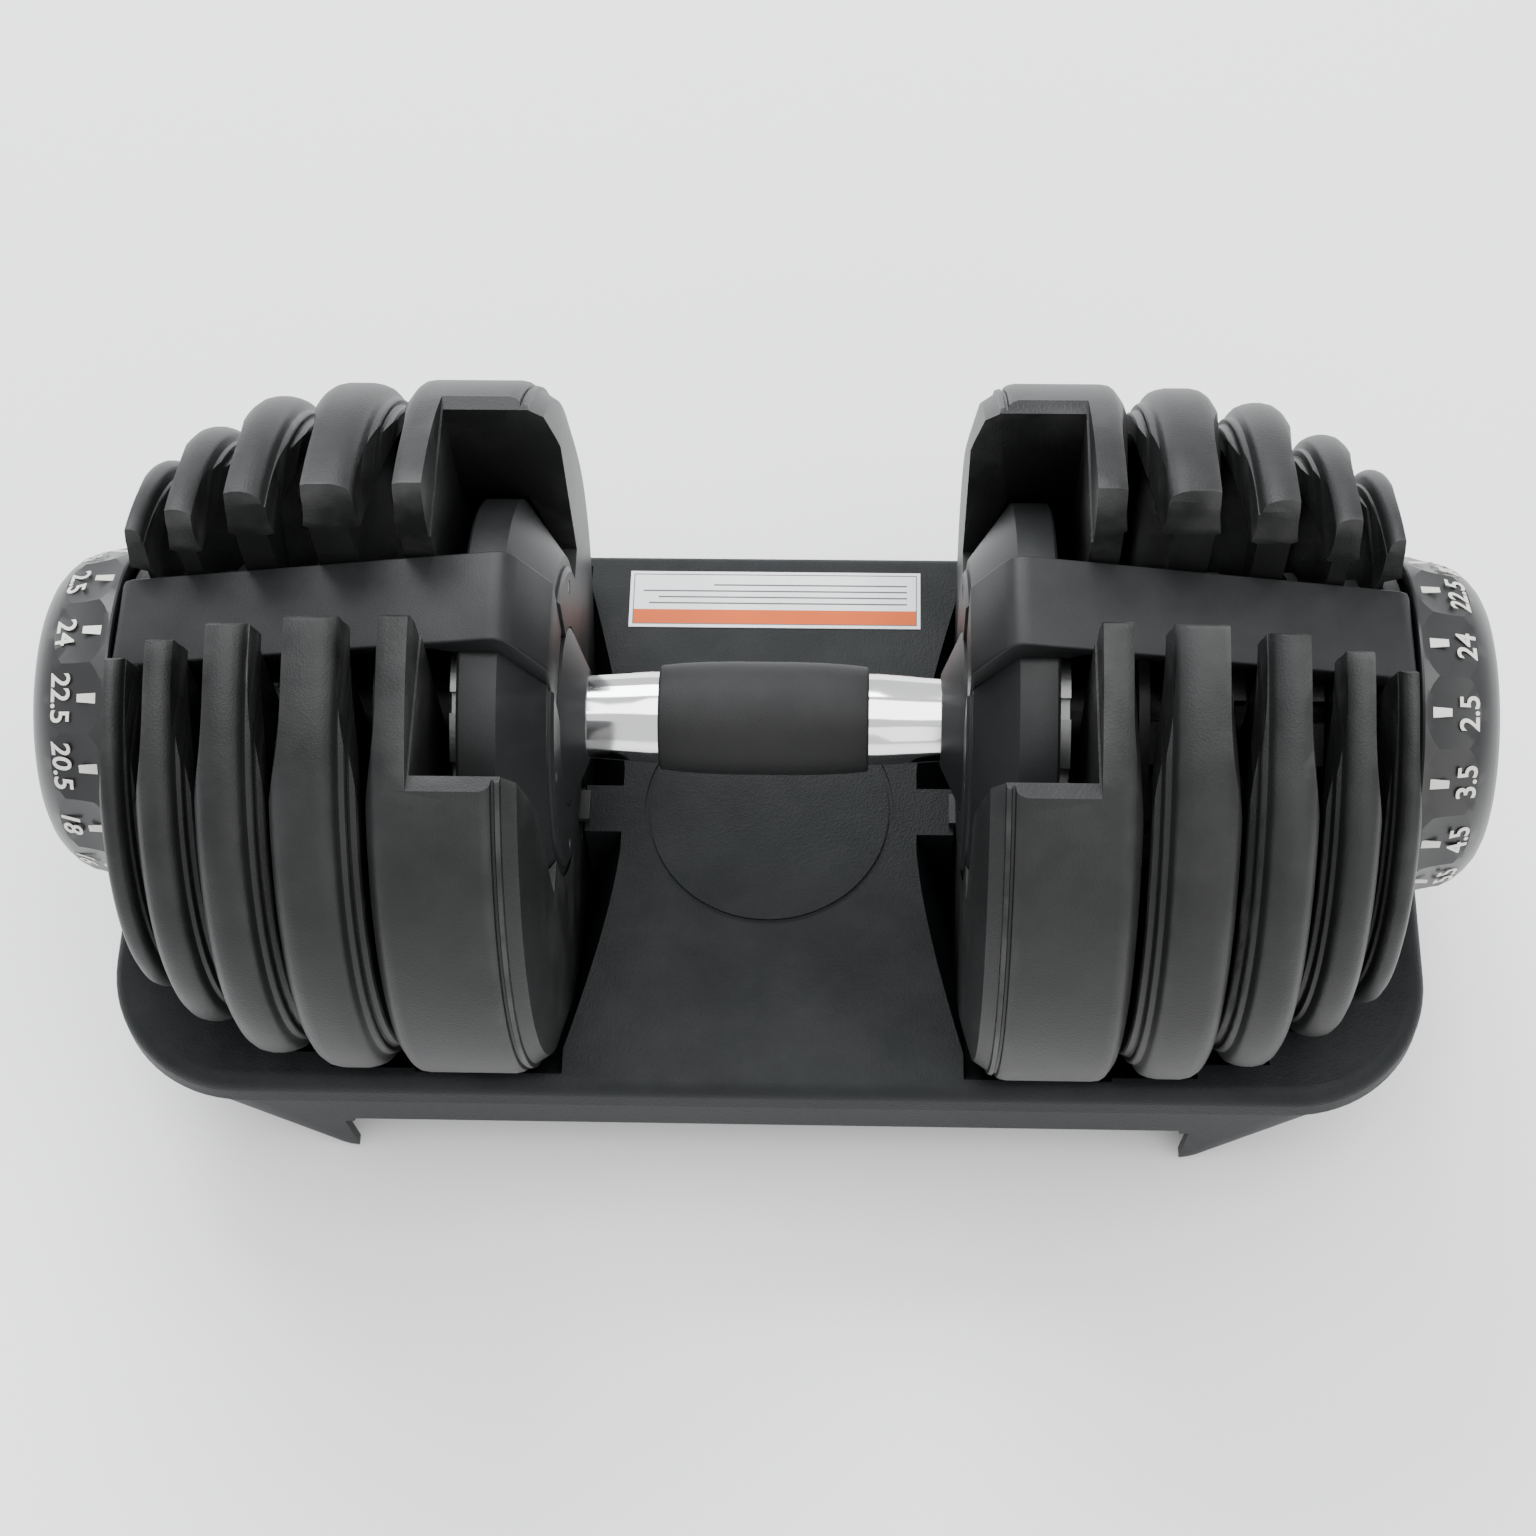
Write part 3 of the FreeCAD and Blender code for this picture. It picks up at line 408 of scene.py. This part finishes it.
def weld(pieces):
    """Joins the pieces into the first of them."""
    clear()
    for piece in pieces:
        piece.select_set(True)
    bpy.context.view_layer.objects.active = pieces[0]
    if len(pieces) > 1:
        bpy.ops.object.join()
    return bpy.context.object


tube = revolve("tube", [
    (-81.9, 5.2), (81.9, 5.2), (81.9, 12.1), (52, 12.1), (45, 12.6), (38, 13.1), (33, 13.4), (-33, 13.4),
    (-38, 13.1), (-45, 12.6), (-52, 12.1), (-81.9, 12.1),
], AXIS, 160)
grip = revolve("grip", [
    (-30.5, 13.42), (30.5, 13.42), (30.5, 14.9), (30.2, 15.2), (29.6, 15.4), (24, 16.0), (17, 16.4), (9, 16.6),
    (-9, 16.6), (-17, 16.4), (-24, 16.0), (-29.6, 15.4), (-30.2, 15.2), (-30.5, 14.9),
], AXIS, 128)
for piece, node, mat in ((tube, "handle_tube", chrome), (grip, "handle_grip", grip_rubber)):
    piece.data.materials.clear()
    piece.data.materials.append(mat)
    pick(piece)
    bpy.ops.object.shade_smooth_by_angle(angle=math.radians(40))
    piece.name = f"{node}_skin"
    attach(piece, "handle")
    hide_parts(node)

# ------------------------------------------------------------------ hubs and bridges
# Each hub is a hollow nylon moulding with a flat inner face, a wide chamfer and straight
# sides; a bridge clips over it and runs out over the plates' slots to the end bracket.
BRIDGE = [
    (58.2, 27), (60, 27), (60, 45), (71, 62), (85, 62), (89, 63.5), (173.2, 46.7), (173.2, 45.3),
    (180, 45.3), (180, 49.4), (179, 51.6), (176.8, 52.7), (74, 69.3), (71, 69.5), (68.6, 68.6), (66.6, 66.2),
    (58.2, 53),
]
hub = revolve("hub", [
    (59, 12.2), (59, 47), (71, 63.5), (81.2, 63.5), (82, 62.7), (82, 60.5), (72, 60.5), (62, 46), (62, 12.2),
], AXIS)
knock(
    hub,
    block("trim", 55, 85, 56.5, 80, 50, 210), block("trim", 55, 85, -80, -56.5, 50, 210),
    block("trim", 57, 83, -14.4, 14.4, AXIS + 61.8, 210),
    prism("trim", [(x - 0.3, -14.4, AXIS + z) for x, z in BRIDGE], (0, 28.8, 0)),
    block("trim", 57, 83.5, -8.6, 8.6, 69, 86.5),
)
knock(hub, *[
    block("side", 71.5, 81.6, y0, y1, AXIS - 27, AXIS + 27) for y0, y1 in ((53.5, 56.4), (-56.4, -53.5))
], operation="UNION")
soften(hub, 0.9)
adopt(hub, "hub_housing", "handle", hub_plastic)
bridge = prism("bridge", [(x, -14, AXIS + z) for x, z in BRIDGE], (0, 28, 0))
soften(bridge, 1.1, 3, 50)
adopt(bridge, "bridge", "handle", hub_plastic)

# ------------------------------------------------------------------ weight plates
# Five nested cast plates a side in a dark moulded coat. Each is a web with a rolled rim,
# open at the top by a slot; above its shoulders it is thinner, so its two horns stand
# clear of its neighbours. The innermost wraps under the hub.
CENTER = 123.2
SLOT = 15.5
NOSE = 58.5
PLATES = {
    1: (102, 66, 102, 90, 98.5), 2: (101, 104.5, 127.8, 112, 123), 3: (97, 130, 148.5, 135, 144),
    4: (88, 151.5, 166.5, 156.5, 161.5), 5: (78, 169.5, 179, 170, 172.5),
}
HORNS = {1: (0, 98.5), 2: (109.5, 123.5), 3: (134, 145), 4: (156, 163.1), 5: (171.5, 176.5)}


def s_curve(x_low, x_high, side, rad):
    """The outline of what is taken off one face of a plate's horns, in X and Z."""
    low, high, top = CENTER + rad - 32, CENTER + rad - 8, 240
    points = [(x_low + side * 4, low - 2), (x_low, low - 2)]
    for i in range(13):
        t = i / 12
        ease = 0.5 - 0.5 * math.cos(math.pi * t)
        points.append((x_low + (x_high - x_low) * ease, low + (high - low) * t))
    return [*points, (x_high, top), (x_low + side * 4, top)]


for k, (rad, x_in, x_out, web_in, web_out) in PLATES.items():
    f = min(1.0, (x_out - x_in) / 19)
    inner = [
        (web_in, rad - 15), (x_in + 0.8, rad - 13), (x_in, rad - 12), (x_in, rad - 7.6),
        (x_in + 0.5 * f, rad - 7), (x_in + 2.0 * f, rad - 6.7), (x_in + 2.5 * f, rad - 6.2),
        (x_in + 2.6 * f, rad - 5.0), (x_in + 3.0 * f, rad - 4.5), (x_in + 4.4 * f, rad - 4.1),
        (x_in + 5.0 * f, rad - 3.4), (x_in + 5.4 * f, rad - 2.2), (x_in + 6.4 * f, rad - 1.2),
        (x_in + 8.2 * f, rad - 0.45), (x_in + 10.5 * f, rad),
    ]
    if k == 1:
        inner = [
            (NOSE, 85), (59.3, 88), (62, 96.5), (65.8, 99.0), (66.1, 100.2), (67.3, 100.5),
            (67.6, 99.9), (68.3, 99.9), (68.6, 100.9), (69.6, 101.6), (71.5, 102),
        ]
    outer = [
        (x_out - 6 * f, rad), (x_out - 3.6 * f, rad - 0.5), (x_out - 1.8 * f, rad - 1.7),
        (x_out - 0.5 * f, rad - 3.6), (x_out, rad - 6), (x_out, rad - 12), (web_out, rad - 15),
    ]
    if k == 1:
        outer = [
            (96, 102), (98.2, 101.7), (99.4, 100.9), (101.4, 98.2), (102, 96.4), (102, 90), (98.5, 87),
        ]
    start = NOSE if k == 1 else web_in
    plate = revolve("plate", [(start, 2), *inner, *outer, (web_out, 2)], CENTER, 144)
    knock(plate, barrel("core", 3, start, web_out, 0, CENTER), operation="UNION")
    trims = []
    if k == 1:
        trims.append(revolve("pocket", [
            (50, 0.5), (50, 50), (58.4, 46.8), (70.4, 64.7), (90, 64.7), (90, 0.5)
        ], AXIS, 96))
        trims.append(block("pocket", 50, 90, -57.7, 57.7, AXIS, 240))
        trims.append(block("pocket", 50, 82.5, -9.2, 9.2, 66, AXIS))
        trims.append(block("ledge", 50, 90.6, -110, 110, AXIS + 73.5, 240))
    x0, x1 = web_in - 12 if k > 1 else 89, x_out + 3
    funnel = [
        (x0, -SLOT, CENTER), (x0, -SLOT, 196), (x0, -SLOT - 0.6, 210), (x0, -SLOT - 3.2, 218.5),
        (x0, -SLOT - 9, 226), (x0, SLOT + 9, 226), (x0, SLOT + 3.2, 218.5), (x0, SLOT + 0.6, 210),
        (x0, SLOT, 196), (x0, SLOT, CENTER),
    ]
    drop = CENTER + math.sqrt(rad ** 2 - (SLOT + 4) ** 2) - 221.5
    funnel = [(x, y, z if z == CENTER else z + drop) for x, y, z in funnel]
    trims.append(prism("slot", funnel, (x1 - x0, 0, 0)))
    trims.append(barrel("slot", SLOT, x0, x1, 0, AXIS))
    thin_in, thin_out = HORNS[k]
    faces = [(x_in - 0.01, thin_in, -1)] if k > 1 else []
    for x_low, x_high, way in [*faces, (x_out + 0.01, thin_out, 1)]:
        trims.append(prism("thin", [(x, -120, z) for x, z in s_curve(x_low, x_high, way, rad)], (0, 240, 0)))
    knock(plate, *trims)
    soften(plate, 0.8, 2, 34)
    adopt(plate, f"plate_{k}", f"weight_{k}_{{side}}", plate_coat, 32)

# ------------------------------------------------------------------ dials
# Each dial is a turned cup with fifteen shallow facets; every facet carries a figure
# and a small mark, printed in cream, and the top one is the weight that is chosen.
dial = revolve("dial", [
    (183, 12), (187.5, 12), (199, 34), (181.5, 45), (181.5, 48.3), (182.2, 49), (187, 48.9), (191, 48.3),
    (195, 47.1), (198.5, 45.4), (201.5, 43), (203.8, 40.4), (205.3, 37.6), (206, 35.4), (205.2, 34.4),
    (203, 33.8), (202.6, 14), (200, 13), (200, 6), (186, 6),
], AXIS, 120)
STEP = math.tau / 15
for n in range(15):
    clear()
    bpy.ops.mesh.primitive_uv_sphere_add(segments=48, ring_count=24, radius=1, location=(0, 0, 0))
    scoop = bpy.context.object
    scoop.scale = (34.6 * MM, 70 * MM, 20 * MM)
    bpy.ops.object.transform_apply(location=True, rotation=True, scale=True)
    scoop.matrix_world = (
        Matrix.Translation((0, 0, AXIS * MM)) @ Matrix.Rotation(STEP * n, 4, "X")
        @ Matrix.Translation((194 * MM, 0, (47.2 + 20 - 0.9) * MM)) @ Matrix.Rotation(math.radians(14), 4, "Y")
    )
    pick(scoop)
    bpy.ops.object.transform_apply(location=True, rotation=True, scale=True)
    knock(dial, scoop)
tidy(dial)
soften(dial, 0.35, 1, 40)
adopt(dial, "dial", "dial_assembly_{side}", dial_plastic, 20)

figure_ink = finish("figure_ink", (0.62, 0.61, 0.57), 0.5, rough_vary=0.1, mottle=0.1)
SETTINGS = ["2.5", "3.5", "4.5", "5.5", "6.5", "8", "9", "10", "11.5", "13.5", "16", "18", "20.5", "22.5", "24"]
prints = []
for n, label in enumerate(SETTINGS):
    around = Matrix.Translation((0, 0, AXIS * MM)) @ Matrix.Rotation(STEP * (n + 1), 4, "X")
    clear()
    bpy.ops.object.text_add()
    text = bpy.context.object
    text.data.body = label
    text.data.size = 8.4 * MM
    text.data.align_x = "CENTER"
    text.data.align_y = "CENTER"
    text.data.extrude = 0.12 * MM
    text.data.offset = 0.12 * MM
    text.data.resolution_u = 5
    text.matrix_world = (
        around @ Matrix.Translation((195.5 * MM, 0, 46.15 * MM))
        @ Matrix.Rotation(math.radians(18), 4, "Y") @ Matrix.Rotation(math.pi / 2, 4, "Z")
    )
    pick(text)
    bpy.ops.object.convert(target="MESH")
    bpy.ops.object.transform_apply(location=True, rotation=True, scale=True)
    prints.append(bpy.context.object)
    mark = prism("mark", [(184.6, -1.5, 0), (184.6, 1.5, 0), (190, 1.1, 0), (190, -1.1, 0)], (0, 0, 0.25))
    mark.matrix_world = around @ Matrix.Translation((0, 0, 47.9 * MM)) @ mark.matrix_world
    pick(mark)
    bpy.ops.object.transform_apply(location=True, rotation=True, scale=True)
    prints.append(mark)
figures = tidy(weld(prints))
figures.data.materials.clear()
figures.data.materials.append(figure_ink)
figures.name = "dial_figures_right"
pick(figures)
bpy.ops.object.duplicate(linked=False)
figures_left = bpy.context.object
figures_left.name = "dial_figures_left"
figures_left.rotation_euler = (0, 0, math.pi)
bpy.ops.object.transform_apply(location=True, rotation=True, scale=True)
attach(figures, "dial_assembly_right")
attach(figures_left, "dial_assembly_left")

# ------------------------------------------------------------------ sticker
# A printed vinyl sticker on the cradle: white, with an orange band and rows of small
# lines that stand for text, inside a thin frame.
label_orange = finish("label_orange", (0.62, 0.10, 0.008), 0.45, specular=0.2)
label_ink = finish("label_ink", (0.05, 0.05, 0.05), 0.5)
STICKER_LOW, STICKER_HIGH = 70.2, 70.36
for name, mat, boxes in (
    ("sticker_band", label_orange, [(-45.9, 45.9, 67.2, 72.4)]),
    ("sticker_lines", label_ink, [
        (-45.9, 45.9, 66.9, 67.2), (-45.9, 45.9, 85.5, 85.8),
        (-46.2, -45.9, 66.9, 85.8), (45.9, 46.2, 66.9, 85.8),
        (-41, 43, 74.6, 75.1), (-38, 43, 76.9, 77.4), (-43, 43, 79.2, 79.7), (-20, 43, 81.5, 82.0),
    ]),
):
    strips = [block(name, x0, x1, y0, y1, STICKER_LOW, STICKER_HIGH) for x0, x1, y0, y1 in boxes]
    sticker = weld(strips)
    sticker.name = name
    sticker.data.materials.clear()
    sticker.data.materials.append(mat)
    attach(sticker, "cradle")
clear()
